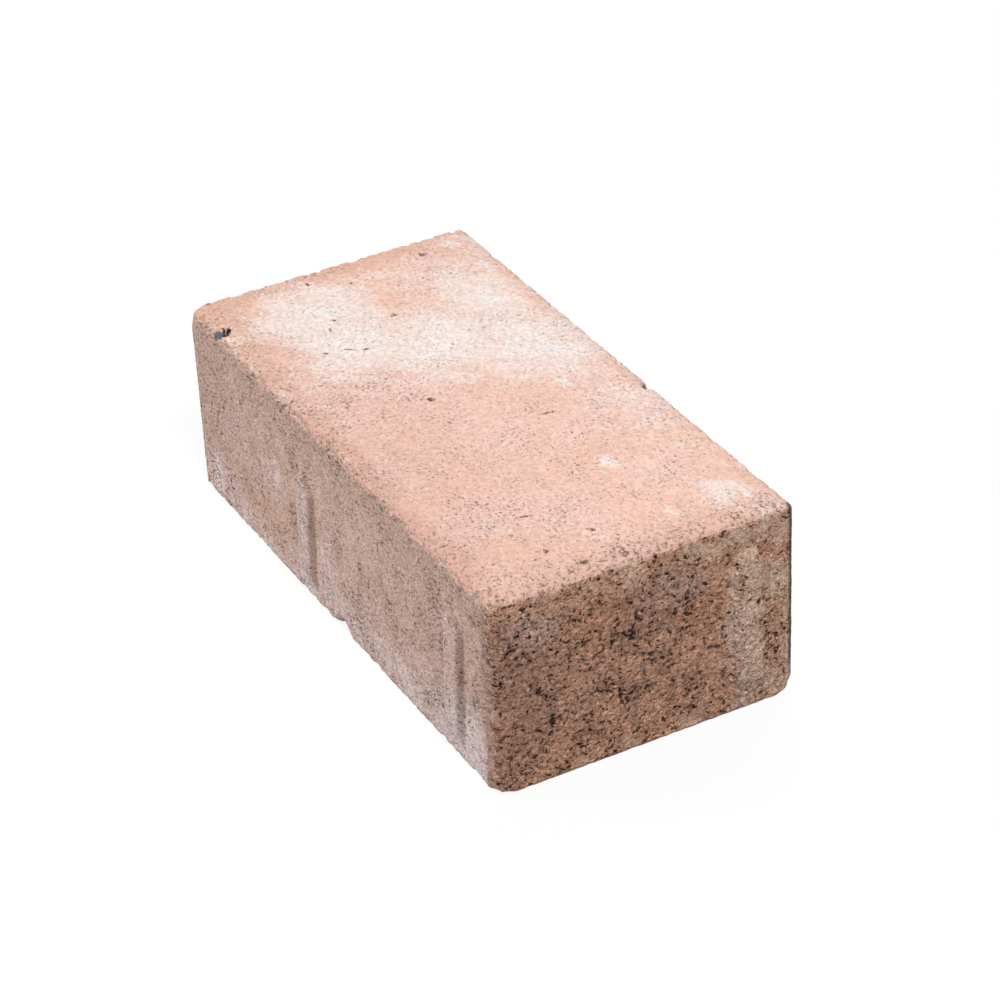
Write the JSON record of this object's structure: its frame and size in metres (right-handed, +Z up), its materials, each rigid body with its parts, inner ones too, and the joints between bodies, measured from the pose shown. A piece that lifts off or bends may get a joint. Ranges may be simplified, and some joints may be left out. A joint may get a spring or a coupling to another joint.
{
  "type": "concrete paving stone",
  "caption": "Rectangular pressed concrete paving stone with a sloped margin and worn arris round its wearing face and moulded spacer ribs down its sides, laid flat for paths and drives.",
  "frame": {"origin": "middle of the bed face, the underside that lies on the ground", "axes": "+X along the stone's length, +Y across its width, +Z up through the wearing face"},
  "size_m": [0.202, 0.102, 0.065],
  "materials": {
    "concrete": "matte pressed concrete, salmon pink fine-grained wearing face, brown open-textured sides, pale lime bloom in patches"
  },
  "bodies": {
    "root": {"paving_stone": "concrete"}
  },
  "joints": []
}
